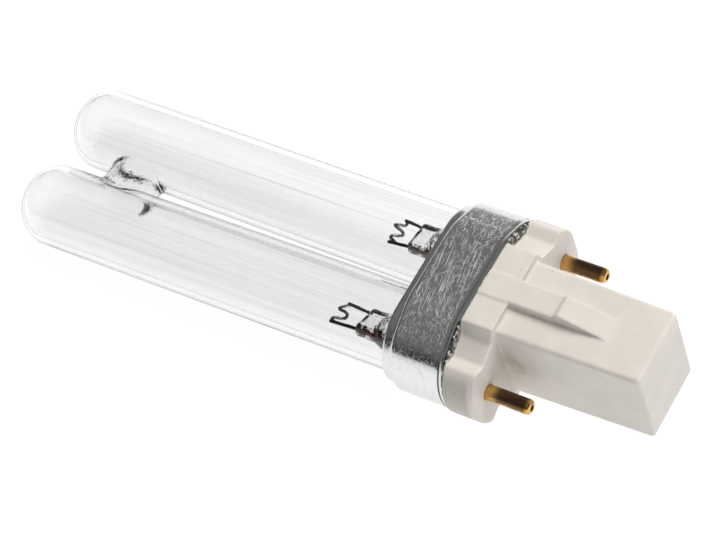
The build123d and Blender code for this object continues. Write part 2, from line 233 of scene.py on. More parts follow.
class Finish:
    """A material under construction."""

    def __init__(self, name):
        self.material = bpy.data.materials.new(name)
        self.material.use_nodes = True
        self.tree = self.material.node_tree
        self.tree.nodes.clear()
        self.output = self.tree.nodes.new("ShaderNodeOutputMaterial")

    def add(self, kind, options, inputs, output=0):
        """Adds a node whose sockets may take values of this material, and gives one of its outputs."""
        inputs = {key: value.socket if isinstance(value, Value) else value for key, value in inputs.items()}
        return Value(self, add_node(self.tree, kind, options, inputs).outputs[output])

    def place(self, scale=(1.0, 1.0, 1.0), turn=(0.0, 0.0, 0.0)):
        """Object coordinates in millimetres, stretched and turned."""
        return self.add("ShaderNodeMapping", {}, {
            0: self.add("ShaderNodeTexCoord", {}, {}, "Object"),
            "Scale": tuple(1000.0 * s for s in scale), "Rotation": turn})

    def drawn(self, turn, stretch):
        """Object coordinates turned about z first and then stretched along the new x, for scratched lines."""
        turned = self.place(turn=(0.0, 0.0, turn))
        return self.add("ShaderNodeMapping", {}, {0: turned, "Scale": (stretch, 1.0, 0.4)})

    def axes(self):
        """x, y and z of a surface point, in millimetres."""
        split = add_node(self.tree, "ShaderNodeSeparateXYZ", {}, {0: self.place().socket})
        return tuple(Value(self, out) for out in split.outputs)

    def join(self, x, y, z):
        """A place made of three values."""
        return self.add("ShaderNodeCombineXYZ", {}, {0: x, 1: y, 2: z})

    def noise(self, place, scale, detail=3.0, roughness=0.55):
        """Soft irregular clouds, from 0 to 1."""
        return self.add("ShaderNodeTexNoise", {}, {
            "Vector": place, "Scale": scale, "Detail": detail, "Roughness": roughness})

    def cells(self, place, scale):
        """Distance to the nearest of many scattered points."""
        return self.add("ShaderNodeTexVoronoi", {}, {"Vector": place, "Scale": scale})

    def blend(self, factor, first, second):
        """Colour between two others."""
        def colour(c):
            return c if isinstance(c, Value) else (*c, 1.0)
        return self.add("ShaderNodeMix", {"data_type": "RGBA"}, {0: factor, 6: colour(first), 7: colour(second)}, 2)

    def bump(self, height, strength, distance):
        """A surface's normal that follows a height; the distance is in millimetres."""
        return self.add("ShaderNodeBump", {}, {"Strength": strength, "Distance": distance * MM, "Height": height})

    def shader(self, **sockets):
        """One Principled shader."""
        inputs = {}
        for key, value in sockets.items():
            key = key.replace("_", " ")
            if isinstance(value, tuple) and key.endswith("Color"):
                value = (*value, 1.0)
            inputs[key] = value
        return self.add("ShaderNodeBsdfPrincipled", {}, inputs)

    def ends_in(self, shader):
        """Links the last shader to the material's output."""
        self.tree.links.new(shader.socket, self.output.inputs[0])
        return self.material

    def surface(self, **sockets):
        """Ends the material in one Principled surface."""
        return self.ends_in(self.shader(**sockets))

    def mixed(self, factor, first, second):
        """Ends the material in a mix of two shaders."""
        return self.ends_in(self.add("ShaderNodeMixShader", {}, {0: factor, 1: first, 2: second}))


# ---------------------------------------------------------------- finishes

def tube_angle(finish):
    """Angle round the nearer tube's axis, and the place along the lamp."""
    middle_tube_y = 7.25
    x, y, z = finish.axes()
    across = abs(y) - middle_tube_y
    return finish.add("ShaderNodeMath", {"operation": "ARCTAN2"}, {0: z, 1: across}), x


def clear_glass():
    """Drawn clear glass: faint lengthwise lines, a few specks, ripples at the bridge, and painted shade as grey
    outlines where the surface turns from view, darker near the tips.
    """
    glass = settings()[0]
    f = Finish("clear_glass")
    angle, x = tube_angle(f)
    fine = f.noise(f.join(angle * 42.0, x * 0.012, 0.0), 1.0, 2.0, 0.6)
    broad = f.noise(f.join(angle * 7.0, x * 0.02, 3.0), 1.0, 2.0, 0.5)
    line = fine.step(0.55, 0.66) * broad.step(0.40, 0.60)
    specks = f.cells(f.place(), 0.55).step(0.085, 0.03) * f.noise(f.place(), 0.12).step(0.5, 0.58)
    tint = f.blend((line * 0.55 + specks * 0.6).clamped(), tuple(glass.tint), (0.62, 0.63, 0.61))
    # painted shade: a grey diffuse shader is mixed in where the glass turns from view, drawing dark outlines that
    # stand in for the glass's bending of light
    edge = f.add("ShaderNodeLayerWeight", {}, {"Blend": 0.5}, "Facing").step(0.64, 0.88)
    across = f.axes()[1]
    blown = x.near(BRIDGE_X, 7.5) * abs(across).step(4.2, 2.4)
    ripple = f.noise(f.place((1.0, 0.5, 1.0)), 1.5, 3.0, 0.6) * blown
    height = fine * 0.5 + broad * 1.2 + ripple * 34.0
    clear = f.shader(Base_Color=tint, Roughness=0.015, IOR=1.458, Transmission_Weight=1.0,
                     Normal=f.bump(height, 0.12, 0.04))
    grey = f.shader(Base_Color=(0.13, 0.135, 0.13), Roughness=0.4, Specular_IOR_Level=0.0)
    # the painted outline shade is made darker near the tips
    near_tip = x.step(TIP_X + 3.0, TIP_X + 0.5)
    return f.mixed((edge * (0.26 + near_tip * 0.32)).clamped(), clear, grey)


def stem_glass():
    """Thick pressed glass of the stems, uneven where the jaws closed on it."""
    f = Finish("stem_glass")
    uneven = f.noise(f.place(), 0.9, 2.0, 0.5)
    tint = f.blend(f.noise(f.place(), 0.6).step(0.45, 0.7), (0.93, 0.93, 0.92), (0.80, 0.79, 0.77))
    return f.surface(
        Base_Color=tint, Roughness=0.03, IOR=1.52, Transmission_Weight=1.0,
        Normal=f.bump(uneven, 0.55, 0.35))


def band_metal():
    """Bright tinned sheet: dense scratches on its upper face and darker marks, with painted shade as dark lines at its
    crimped rim, in its pressed groove and in the crimp's crinkles.
    """
    band = settings()[1]
    f = Finish("band_metal")
    x, y, z = f.axes()
    facing = f.place((1.0, 1.0, 0.25))
    marks = None
    for turn, stretch, scale, low in (
            (1.45, 0.045, 6.5, 0.575), (0.95, 0.055, 7.5, 0.61), (-0.85, 0.06, 7.0, 0.62), (0.2, 0.06, 8.0, 0.63)):
        scratch = f.noise(f.drawn(turn, stretch), scale, 2.0, 0.6).step(low, low + 0.07)
        marks = scratch if marks is None else marks.most(scratch)
    mottled = f.noise(facing, 1.6, 5.0, 0.65)
    upper = z.step(5.2, 8.6) * x.step(-13.5, -12.9) * x.step(-5.95, -6.3)
    fine = f.noise(facing, 7.0, 3.0, 0.6)
    worn = (marks * band.scratch_depth + (fine - 0.5) * 0.4) * (0.15 + upper * 0.85)
    colour = f.blend(worn.clamped(), tuple(band.metal), (0.97, 0.97, 0.96))
    colour = f.blend(mottled.step(0.5, 0.75) * 0.35, colour, (0.42, 0.41, 0.40))
    # painted shade: the rim, pressed and crimp masks lay near-black lines where the gap at the rim, the pressed groove
    # and the crimp's crinkles fall into shadow
    rim = x.step(-5.3, -5.12) * f.noise(f.place((0.2, 1.0, 1.0)), 0.8).step(0.38, 0.5) * z.step(5.6, 4.6)
    pressed = x.step(-5.92, -5.8) * x.step(-5.5, -5.62) * z.step(6.2, 5.2)
    crimp_painted_shade = x.step(-5.2, -5.05) * abs(y).near(9.9, 4.0) * f.noise(f.place(), 1.5, 2.0, 0.6).step(0.42, 0.52)
    colour = f.blend(rim.most(pressed).most(crimp_painted_shade.step(0.05, 0.25)).clamped() * 0.93, colour, (0.03, 0.03, 0.03))
    rough = 0.10 + mottled * 0.10 + worn.clamped() * 0.42
    dull = (marks * 0.48 + fine.step(0.48, 0.72) * 0.26) * upper
    return f.surface(
        Base_Color=colour, Metallic=(1.0 - dull).clamped(), Roughness=rough.clamped(),
        Normal=f.bump(marks * 0.8 + fine * 0.4 + mottled * 0.8, 0.25, 0.05))


def cap_plastic():
    """Warm off-white moulding with a fine satin grain and faint specks, with painted shade on the lobes' outer sides,
    in the corner between the post and the shoulder and along the seam at the band's rim.
    """
    cap = settings()[2]
    f = Finish("cap_plastic")
    x, y, z = f.axes()
    cloud = f.noise(f.place(), 0.22, 3.0, 0.6)
    grain = f.noise(f.place(), 5.0, 3.0, 0.6)
    specks = f.cells(f.place(), 0.45).step(0.075, 0.04) * f.noise(f.place(), 0.35).step(0.5, 0.56)
    base = tuple(cap.plastic)
    colour = f.blend(cloud.step(0.35, 0.7), tuple(c * 0.97 for c in base), tuple(min(1.0, c * 1.03) for c in base))
    # painted shade: the lobes' outer sides are darkened towards a greenish grey
    painted_lobe_shade = abs(y).step(13.2, 14.4) * x.step(-0.6, -1.4) * (0.6 + cloud * 0.6)
    colour = f.blend((painted_lobe_shade * 0.7).clamped(), colour, (0.41, 0.40, 0.34))
    # painted shade: a brown-grey patch in the corner between the lobe's end and the post's side
    painted_corner_shade = x.near(1.8, 4.5) * z.near(-0.5, 7.0) * y.near(-6.4, 1.0) * f.noise(f.place(), 0.45).step(0.3, 0.65)
    colour = f.blend((painted_corner_shade * 0.6).clamped(), colour, (0.40, 0.32, 0.25))
    # painted shadow: a dark line along the moulding where the band's rim meets it
    painted_seam_shadow = x.step(-4.72, -4.95) * f.noise(f.place((0.2, 1.0, 1.0)), 0.9).step(0.35, 0.55)
    colour = f.blend((painted_seam_shadow * 0.85).clamped(), colour, (0.07, 0.065, 0.06))
    colour = f.blend((specks * 0.8).clamped(), colour, (0.16, 0.14, 0.12))
    return f.surface(
        Base_Color=colour, Roughness=(0.42 + grain * 0.14).clamped(), IOR=1.5,
        Subsurface_Weight=0.12, Subsurface_Radius=(0.0012, 0.0009, 0.0007), Subsurface_Scale=1.0,
        Normal=f.bump(grain + cloud * 2.0, 0.12, 0.03))


def pin_brass():
    """Brass, darkened brown along its upper side, partly by tarnish and partly by a painted dark reflection, and
    bright at its foot and tip.
    """
    cap = settings()[2]
    f = Finish("pin_brass")
    x, y, z = f.axes()
    patchy = f.noise(f.place((0.5, 1.0, 1.0)), 1.3, 4.0, 0.6)
    fine = f.noise(f.place((0.35, 1.0, 1.0)), 6.0, 3.0, 0.6)
    # partly tarnish, partly painted reflection: the upper side is darkened by height, standing in for the dark
    # surroundings that it reflects
    tarnish_and_painted_reflection = (z + patchy * 1.4).step(0.35, 1.1) * x.step(0.6, 2.4) * x.step(6.7, 6.1)
    colour = f.blend(patchy.step(0.3, 0.75), tuple(cap.brass), (0.62, 0.36, 0.11))
    colour = f.blend((tarnish_and_painted_reflection * 0.92).clamped(), colour, (0.10, 0.06, 0.035))
    return f.surface(
        Base_Color=colour, Metallic=1.0, Roughness=(0.16 + fine * 0.16 + tarnish_and_painted_reflection * 0.16).clamped(),
        Normal=f.bump(fine + patchy, 0.2, 0.03))


def support_wire():
    """Dull nickel wire, sheathed in red copper where it is sealed in the glass."""
    f = Finish("support_wire")
    x, y, z = f.axes()
    grain = f.noise(f.place((0.3, 1.0, 1.0)), 4.0, 3.0, 0.6)
    sealed = x.step(-22.3, -21.8) * x.step(-17.6, -18.6)
    near_one, far_one = y.near(-9.0, 2.0) * sealed, y.near(4.9, 2.0) * sealed
    colour = f.blend(grain, (0.03, 0.03, 0.03), (0.085, 0.083, 0.08))
    colour = f.blend((near_one * 2.0).clamped(), colour, (0.16, 0.012, 0.014))
    colour = f.blend((far_one * 2.0).clamped(), colour, (0.42, 0.25, 0.21))
    return f.surface(
        Base_Color=colour, Metallic=0.75, Roughness=(0.34 + grain * 0.2).clamped(),
        Normal=f.bump(grain, 0.3, 0.03))


def emitter_coil():
    """Dark tungsten wire with patches of pale emitter coating."""
    f = Finish("emitter_coil")
    patch = f.noise(f.place(), 2.2, 3.0, 0.6)
    colour = f.blend(patch.step(0.5, 0.8), (0.05, 0.05, 0.05), (0.30, 0.29, 0.28))
    return f.surface(
        Base_Color=colour, Metallic=0.6, Roughness=(0.35 + patch * 0.3).clamped(),
        Normal=f.bump(patch, 0.3, 0.03))


def cement():
    """Matt buff basing cement with a sandy surface."""
    f = Finish("basing_cement")
    grit = f.noise(f.place(), 3.5, 5.0, 0.7)
    colour = f.blend(grit, (0.50, 0.44, 0.34), (0.68, 0.62, 0.50))
    return f.surface(Base_Color=colour, Roughness=(0.8 + grit * 0.15).clamped(), Normal=f.bump(grit, 0.7, 0.15))


def sleeve_fibre():
    """Woven glass-fibre sleeving."""
    f = Finish("sleeve_fibre")
    weave = f.add("ShaderNodeTexWave", {"bands_direction": "DIAGONAL"}, {
        "Vector": f.place(), "Scale": 2.2, "Distortion": 0.8, "Detail": 2.0}, "Fac")
    colour = f.blend(weave, (0.60, 0.56, 0.44), (0.82, 0.79, 0.68))
    return f.surface(Base_Color=colour, Roughness=0.85, Normal=f.bump(weave, 0.6, 0.08))


def starter_glass():
    """Thin clear glass of the glow starter, with faint drawing marks."""
    f = Finish("starter_glass")
    cloud = f.noise(f.place((0.1, 1.0, 1.0)), 1.2, 2.0, 0.5)
    colour = f.blend(cloud, (0.93, 0.94, 0.93), (0.88, 0.89, 0.88))
    return f.surface(Base_Color=colour, Roughness=0.03, IOR=1.5, Transmission_Weight=1.0,
                     Normal=f.bump(cloud, 0.15, 0.05))


def bimetal():
    """Rolled strip with a fine lengthwise grain."""
    f = Finish("bimetal")
    grain = f.noise(f.place((0.08, 1.0, 3.0)), 4.0, 4.0, 0.6)
    colour = f.blend(grain, (0.38, 0.34, 0.26), (0.58, 0.54, 0.44))
    return f.surface(Base_Color=colour, Metallic=1.0, Roughness=(0.25 + grain * 0.2).clamped(),
                     Normal=f.bump(grain, 0.25, 0.02))


def tinned_wire():
    """Tinned copper wire."""
    f = Finish("tinned_wire")
    grain = f.noise(f.place((0.3, 1.0, 1.0)), 5.0, 3.0, 0.6)
    colour = f.blend(grain, (0.46, 0.45, 0.43), (0.68, 0.67, 0.64))
    return f.surface(Base_Color=colour, Metallic=1.0, Roughness=(0.28 + grain * 0.2).clamped(),
                     Normal=f.bump(grain, 0.3, 0.02))


def capacitor_coat():
    """Dipped brown lacquer with soft ripples."""
    f = Finish("capacitor_coat")
    ripple = f.noise(f.place(), 0.5, 2.0, 0.5)
    colour = f.blend(ripple, (0.28, 0.09, 0.035), (0.40, 0.15, 0.06))
    return f.surface(Base_Color=colour, Roughness=0.24, Coat_Weight=0.5, Normal=f.bump(ripple, 0.4, 0.25))


# ---------------------------------------------------------------- pieces and meshes

FINISHES = {}


def finish_of(slot):
    """The material for a slot of the record, made once."""
    makers = {
        "clear_glass": clear_glass, "stem_glass": stem_glass, "band_metal": band_metal,
        "cap_plastic": cap_plastic, "cement": cement, "pin_brass": pin_brass,
        "support_wire": support_wire, "emitter_coil": emitter_coil, "sleeve_fibre": sleeve_fibre,
        "starter_glass": starter_glass, "bimetal": bimetal, "starter_wire": tinned_wire,
        "capacitor_coat": capacitor_coat,
    }
    if slot not in FINISHES:
        FINISHES[slot] = makers[slot]()
    return FINISHES[slot]


def add_mesh(name, points, faces):
    """A linked mesh object from points in millimetres."""
    mesh = bpy.data.meshes.new(name)
    mesh.from_pydata((np.asarray(points, float) * MM).tolist(), [], faces)
    mesh.validate()
    piece = bpy.data.objects.new(name, mesh)
    bpy.context.scene.collection.objects.link(piece)
    return piece


def outward(piece):
    """Merges doubles and turns every face of a closed piece outwards."""
    shape = bmesh.new()
    shape.from_mesh(piece.data)
    bmesh.ops.remove_doubles(shape, verts=shape.verts, dist=1e-6)
    bmesh.ops.recalc_face_normals(shape, faces=shape.faces)
    shape.to_mesh(piece.data)
    shape.free()
    piece.data.update()
    return piece


def settle(piece, slot, *nodes):
    """Gives a piece its finish and its body, and hides the CAD nodes that it stands for."""
    if not piece.data.polygons:
        raise RuntimeError(piece.name + " came out without faces")
    piece.data.materials.clear()
    piece.data.materials.append(finish_of(slot))
    for polygon in piece.data.polygons:
        polygon.use_smooth = True
        polygon.material_index = 0
    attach(piece, BODY)
    if nodes:
        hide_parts(*nodes)
    return piece


def baked(piece):
    """The piece with its modifiers worked into its mesh."""
    bpy.context.view_layer.update()
    result = piece.evaluated_get(bpy.context.evaluated_depsgraph_get())
    mesh = bpy.data.meshes.new_from_object(result)
    mesh.name = piece.name
    piece.modifiers.clear()
    piece.data = mesh
    return piece


def combined(piece, other, operation):
    """One closed shape changed by another, which is used up."""
    change = piece.modifiers.new("change", "BOOLEAN")
    change.operation = operation
    change.solver = "EXACT"
    change.object = other
    baked(piece)
    bpy.data.objects.remove(other)
    return piece


def cut(piece, tool):
    """Takes one closed shape out of another."""
    return combined(piece, tool, "DIFFERENCE")


def join(first, second):
    """Adds one closed shape to another."""
    return combined(first, second, "UNION")


def even_skin(piece, voxel, passes):
    """Remeshes a closed shape into even faces and eases its edges."""
    change = piece.modifiers.new("skin", "REMESH")
    change.mode = "VOXEL"
    change.voxel_size = voxel * MM
    change.use_smooth_shade = True
    if passes:
        ease = piece.modifiers.new("ease", "SMOOTH")
        ease.factor = 0.5
        ease.iterations = passes
    return baked(piece)


def around(count):
    """Evenly spaced angles of a full turn."""
    return np.linspace(0, 2 * math.pi, count, endpoint=False)


def rings_mesh(name, rings, closed=False):
    """Skin over rings of equal count, in millimetres: closed end to end, or with a flat cap at each end."""
    count = len(rings[0])
    points = [p for ring in rings for p in ring]
    faces = []
    last = len(rings) if closed else len(rings) - 1
    for i in range(last):
        a, b = i * count, ((i + 1) % len(rings)) * count
        for j in range(count):
            k = (j + 1) % count
            faces.append((a + j, a + k, b + k, b + j))
    if not closed:
        faces.append(tuple(range(count - 1, -1, -1)))
        faces.append(tuple(range((len(rings) - 1) * count, len(rings) * count)))
    return outward(add_mesh(name, points, faces))


def lathe(name, profile, y, segments, closed=False):
    """Turned shape about an axis along X, from (x, radius) pairs."""
    rings = [[(x, y + radius * math.cos(a), radius * math.sin(a)) for a in around(segments)]
             for x, radius in profile]
    return rings_mesh(name, rings, closed)


def prism(name, loop, x0, x1):
    """Straight shape with a (y, z) outline between two stations along the lamp."""
    return rings_mesh(name, [[(x, y, z) for y, z in loop] for x in (x0, x1)])


# share by which the round ends are filled out from a circle towards an ellipse
END_FULLNESS = 0.3


def even_loop(corners, side_point, count, easing=0.0):
    """Closed (y, z) outline of the oval kind: mirrored corners and a full round end at each side, in even steps."""
    last_y, last_z = corners[-1]
    centre = (side_point ** 2 - last_y ** 2 - last_z ** 2) / (2 * (side_point - last_y))
    radius = side_point - centre
    reach = math.asin(last_z / radius)
    quarter = [(0.0, corners[0][1])] + list(corners)
    for a in np.linspace(reach, 0, 24)[1:]:
        z = radius * math.sin(a)
        oval = last_y + (side_point - last_y) * math.sqrt(max(1.0 - (z / last_z) ** 2, 0.0))
        quarter.append(((1.0 - END_FULLNESS) * (centre + radius * math.cos(a)) + END_FULLNESS * oval, z))
    right = quarter + [(y, -z) for y, z in reversed(quarter[:-1])]
    loop = right[:-1] + [(-y, z) for y, z in reversed(right[1:])]
    return eased(loop, count, easing)


def eased(loop, count, easing):
    """A closed outline sampled in even steps, its corners rounded over the given length."""
    points = np.asarray(loop + [loop[0]], float)
    lengths = np.concatenate([[0], np.cumsum(np.linalg.norm(np.diff(points, axis=0), axis=1))])
    places = np.linspace(0, lengths[-1], count, endpoint=False)
    even = np.stack([np.interp(places, lengths, points[:, k]) for k in (0, 1)], axis=1)
    width = int(easing / (lengths[-1] / count))
    half = width // 2
    if width > 1:
        for _ in range(2):
            even = sum(np.roll(even, s, axis=0) for s in range(-half, half + 1)) / (2 * half + 1)
    return even


def sideways(loop):
    """Outward direction at each point of a closed clockwise outline."""
    along = np.roll(loop, -1, axis=0) - np.roll(loop, 1, axis=0)
    along /= np.linalg.norm(along, axis=1)[:, None]
    return np.stack([-along[:, 1], along[:, 0]], axis=1)


# ---------------------------------------------------------------- glass envelope

GLASS_VOXEL = 0.4
# share of the wall that the tubes keep at the middle of their tips
TIP_WALL_SHARE = 0.5
TIP_CROWN = 0.35
STILL_FOOT = 0.8


def tube_frame(points, side, glass):
    """Distance along and away from one tube's axis, for points in millimetres."""
    lean = math.radians(glass.lean)
    foot = np.array([TUBE_FOOT_X, side * glass.foot_pitch / 2, 0.0])
    way = np.array([-math.cos(lean), side * math.sin(lean), 0.0])
    rel = points - foot
    along = rel @ way
    away = np.linalg.norm(rel - along[:, None] * way, axis=1)
    return along, away


def tube_field(points, side, glass, inset):
    """Signed distance to one tube with its rounded tip, shrunk by an inset."""
    along, away = tube_frame(points, side, glass)
    length = (TUBE_FOOT_X - TIP_X) - inset * TIP_WALL_SHARE
    corner = glass.tip_radius - inset
    q = np.stack([away - (glass.tube_radius - inset - corner), along - (length - corner)], axis=1)
    crown = TIP_CROWN * np.clip(1 - (away / (glass.tube_radius - inset)) ** 2, 0, 1) - TIP_CROWN
    q[:, 1] -= np.where(along > length - corner, crown, 0.0)
    return np.linalg.norm(np.maximum(q, 0), axis=1) + np.minimum(q.max(axis=1), 0) - corner


def melted(a, b, reach):
    """Soft union of two distances."""
    h = np.clip(0.5 + 0.5 * (b - a) / reach, 0, 1)
    return b * (1 - h) + a * h - reach * h * (1 - h)


def envelope_field(points, glass, inset, neck, reach):
    """Signed distance to both tubes and the neck blown between them."""
    field = melted(tube_field(points, LEFT, glass, inset), tube_field(points, RIGHT, glass, inset), 0.25)
    across = np.sqrt((points[:, 0] - BRIDGE_X) ** 2 + points[:, 2] ** 2) - neck
    bridge = np.maximum(across, np.abs(points[:, 1]) - glass.foot_pitch / 2)
    return melted(field, bridge, reach)


def drawn_onto(piece, field):
    """Moves every point of a skin exactly onto a distance field, apart from its flat foot."""
    count = len(piece.data.vertices)
    flat = np.zeros(count * 3)
    piece.data.vertices.foreach_get("co", flat)
    points = flat.reshape(-1, 3) / MM
    free = points[:, 0] < TUBE_FOOT_X - STILL_FOOT
    step = 0.01
    for _ in range(4):
        moving = points[free]
        value = field(moving)
        slope = np.stack([(field(moving + way) - field(moving - way)) / (2 * step)
                          for way in np.eye(3) * step], axis=1)
        size = np.maximum((slope ** 2).sum(axis=1), 0.2)
        points[free] = moving - (value / size)[:, None] * slope
    piece.data.vertices.foreach_set("co", (points * MM).ravel())
    piece.data.update()
    return piece


def envelope_skin(name, glass, inset, neck, reach, foot):
    """One closed skin of the envelope: the outside, or the bore when inset."""
    shape = None
    lean = math.radians(glass.lean)
    radius = glass.tube_radius - inset
    for side in (LEFT, RIGHT):
        rings = []
        length = TUBE_FOOT_X - TIP_X - inset * TIP_WALL_SHARE
        corner = glass.tip_radius - inset
        stations = [(-foot, radius), (length - corner, radius)]
        stations += [(length - corner + corner * math.sin(a), radius - corner + corner * math.cos(a))
                     for a in np.linspace(0, math.pi / 2, 8)[1:]]
        for along, r in stations:
            ring = []
            for a in around(72):
                u, z = r * math.cos(a), r * math.sin(a)
                x = TUBE_FOOT_X - along * math.cos(lean) + side * u * math.sin(lean)
                y = side * glass.foot_pitch / 2 + side * along * math.sin(lean) + u * math.cos(lean)
                ring.append((x, y, z))
            rings.append(ring)
        tube = rings_mesh(name, rings)
        shape = tube if shape is None else join(shape, tube)
    neck_rings = [[(BRIDGE_X + neck * math.cos(a), y, neck * math.sin(a)) for a in around(48)]
                  for y in (-glass.foot_pitch / 2, glass.foot_pitch / 2)]
    shape = join(shape, rings_mesh("neck", neck_rings))
    even_skin(shape, GLASS_VOXEL, 0)
    return drawn_onto(shape, lambda p: envelope_field(p, glass, inset, neck, reach))


class LAMP_OT_glass(bpy.types.Operator):
    """Makes the glass envelope: two drawn tubes with rounded tips and the blown bridge between them"""
    bl_idname = "lamp.glass"
    bl_label = "Glass envelope"

    def execute(self, context):
        glass = settings()[0]
        outside = envelope_skin("glass_tubes", glass, 0.0, glass.bridge_radius, 0.5, 0.0)
        bore = envelope_skin("bore", glass, glass.wall, glass.bridge_radius - 0.95, 0.4, 3.0)
        settle(cut(outside, bore), "clear_glass", "glass_envelope")
        return {"FINISHED"}


# ---------------------------------------------------------------- metal band

BODY_CORNERS = [(6.7, 9.35), (12.2, 6.75)]
CAP_CORNERS = [(6.7, 9.05), (7.7, 6.8), (10.7, 5.4), (12.6, 6.1)]
BAND_SIDE = PIN_Y + 3.7
CAP_SIDE = PIN_Y + 4.0
MOUTH_RADIUS = 7.35


def groove_floor(y):
    """Height of the cap's own outline, down to which the band's rim is pressed."""
    ys, zs = zip((0.0, CAP_CORNERS[0][1]), *CAP_CORNERS, (13.2, 5.9))
    return np.interp(np.abs(y), ys, zs)


def groove_share(y):
    """1 where the cap has a groove, 0 well beside it."""
    return np.clip((np.abs(y) - 6.4) / 0.9, 0, 1) * np.clip((13.6 - np.abs(y)) / 1.2, 0, 1)


class LAMP_OT_band(bpy.types.Operator):
    """Makes the drawn metal band: its stepped mouth, its body and the rim crimped into the cap's grooves"""
    bl_idname = "lamp.band"
    bl_label = "Metal band"

    def execute(self, context):
        count = 520
        body = even_loop(BODY_CORNERS, BAND_SIDE, count, 3.0)
        mouth = [(0.0, MOUTH_RADIUS)]
        mouth += [(way * (TUBE_Y + MOUTH_RADIUS * math.sin(a)), way * MOUTH_RADIUS * math.cos(a))
                  for way in (1, -1) for a in np.linspace(0, math.pi, 48)]
        neck = eased(mouth, count, 0.4)
        body_out, neck_out = sideways(body), sideways(neck)
        rng = np.random.default_rng(7)
        phases = rng.uniform(0, 2 * math.pi, 5)
        arc = np.arange(count) / count * 2 * math.pi

        def ring(x, inset, shape=body, out=body_out):
            loop = shape - out * inset
            return np.column_stack([np.full(count, x), loop])

        def rim(x, share, inset, crinkle=0.0):
            loop = body - body_out * inset
            y, z = loop[:, 0], loop[:, 1]
            in_groove = groove_share(body[:, 0])
            floor = groove_floor(y) + 0.06
            drop = np.maximum(np.abs(z) - floor, 0.0) * in_groove * share
            waves = sum(np.sin(arc * f + p) for f, p in zip((61, 87, 113, 149, 197), phases)) / 5
            x_all = x + crinkle * waves * in_groove
            return np.column_stack([x_all, y, np.sign(z) * (np.abs(z) - drop)])

        rings = [ring(-15.5, 0.22, neck, neck_out), ring(-15.5, 0.08, neck, neck_out),
                 ring(-15.42, 0.0, neck, neck_out)]
        rings += [ring(x, 0.0, neck, neck_out) for x in (-15.1, -14.6, -14.15)]
        rings += [ring(-14.0 + 0.2 * (1 - math.cos(a)), -0.25 * math.sin(a) * 0.6, neck, neck_out)
                  for a in (0.4, 0.9, 1.4)]
        rings += [ring(-13.8, 0.42), ring(-13.77, 0.24), ring(-13.66, 0.1), ring(-13.48, 0.02)]
        rings += [ring(x, 0.0) for x in np.linspace(-13.2, -6.4, 16)]
        rings += [ring(-5.98, 0.0), ring(-5.84, 0.05), ring(-5.72, 0.09), ring(-5.6, 0.05), ring(-5.5, 0.0)]
        rings += [rim(-5.28, 0.0, -0.01), rim(-5.1, 0.03, 0.02), rim(-4.96, 0.1, 0.07, 0.05)]
        rings += [rim(-4.86, 0.25, 0.16, 0.14), rim(-4.83, 0.45, 0.24, 0.18), rim(-4.84, 0.7, 0.27, 0.18),
                  rim(-4.84, 1.0, 0.3, 0.08)]
        rings += [rim(-4.99, 1.0, 0.3), rim(-5.0, 0.4, 0.3), ring(-5.04, 0.3)]
        rings += [ring(x, 0.3) for x in (-7.5, -10.0, -13.0)]
        rings += [ring(-13.4, 0.4), ring(-13.5, 0.75)]
        rings += [ring(-13.55, 0.1, neck, neck_out), ring(-13.75, 0.28, neck, neck_out)]
        rings += [ring(x, 0.3, neck, neck_out) for x in (-14.2, -14.9, -15.42)]
        band = rings_mesh("metal_sleeve", [r.tolist() for r in rings], closed=True)
        settle(band, "band_metal", "metal_band")
        return {"FINISHED"}


# ---------------------------------------------------------------- cap and pins

LOBE_ROUNDING = 0.8
CAP_WALL = 1.5
POST_WALL = 1.3
POST_LENGTH = 21.9
POST_TAPER = 0.4
PIN_RADIUS = 1.15
PIN_ROUNDING = 0.62


def box_loop(half_y, half_z, radius):
    """Rectangle with rounded corners as a (y, z) outline."""
    loop = []
    for sy, sz, start in ((1, 1, 0), (-1, 1, 90), (-1, -1, 180), (1, -1, 270)):
        for a in np.linspace(math.radians(start), math.radians(start + 90), 6):
            loop.append((sy * (half_y - radius) + radius * math.cos(a), sz * (half_z - radius) + radius * math.sin(a)))
    return loop


def block(name, low, high):
    """Box between two corners, in millimetres."""
    loop = [(low[1], low[2]), (high[1], low[2]), (high[1], high[2]), (low[1], high[2])]
    return prism(name, loop, low[0], high[0])


def shoulder_blank():
    """The grooved shoulder, rounded in plan at its outer corners."""
    loop = even_loop(CAP_CORNERS, CAP_SIDE, 360)
    stations = [-5.0, -3.0, -LOBE_ROUNDING]
    stations += [-LOBE_ROUNDING + LOBE_ROUNDING * math.sin(a) for a in np.linspace(0.12, math.pi / 2, 14)]
    rings = []
    for x in stations:
        reach = CAP_SIDE
        if x > -LOBE_ROUNDING:
            bend = math.sqrt(max(LOBE_ROUNDING ** 2 - (x + LOBE_ROUNDING) ** 2, 0.0))
            reach = CAP_SIDE - LOBE_ROUNDING + bend
        rings.append([(x, float(np.clip(y, -reach, reach)), z) for y, z in loop])
    return rings_mesh("shoulder", rings)


def post_blank(inset=0.0, x0=-1.0, x1=POST_END_X):
    """The tapered post with its rounded end, or the space inside it when inset."""
    rings = []
    stations = [(x0, 0.0)]
    if inset:
        stations.append((x1, 0.0))
    else:
        stations += [(x1 - 0.5 + 0.5 * math.sin(a), 0.5 * (1 - math.cos(a))) for a in np.linspace(0, math.pi / 2, 5)]
    for x, pull in stations:
        taper = POST_TAPER * x / POST_LENGTH
        rings.append([(x, y, z) for y, z in box_loop(6.4 - taper - inset - pull, 8.0 - taper - inset - pull,
                                                      max(0.65 - pull, 0.2))])
    return rings_mesh("post", rings)


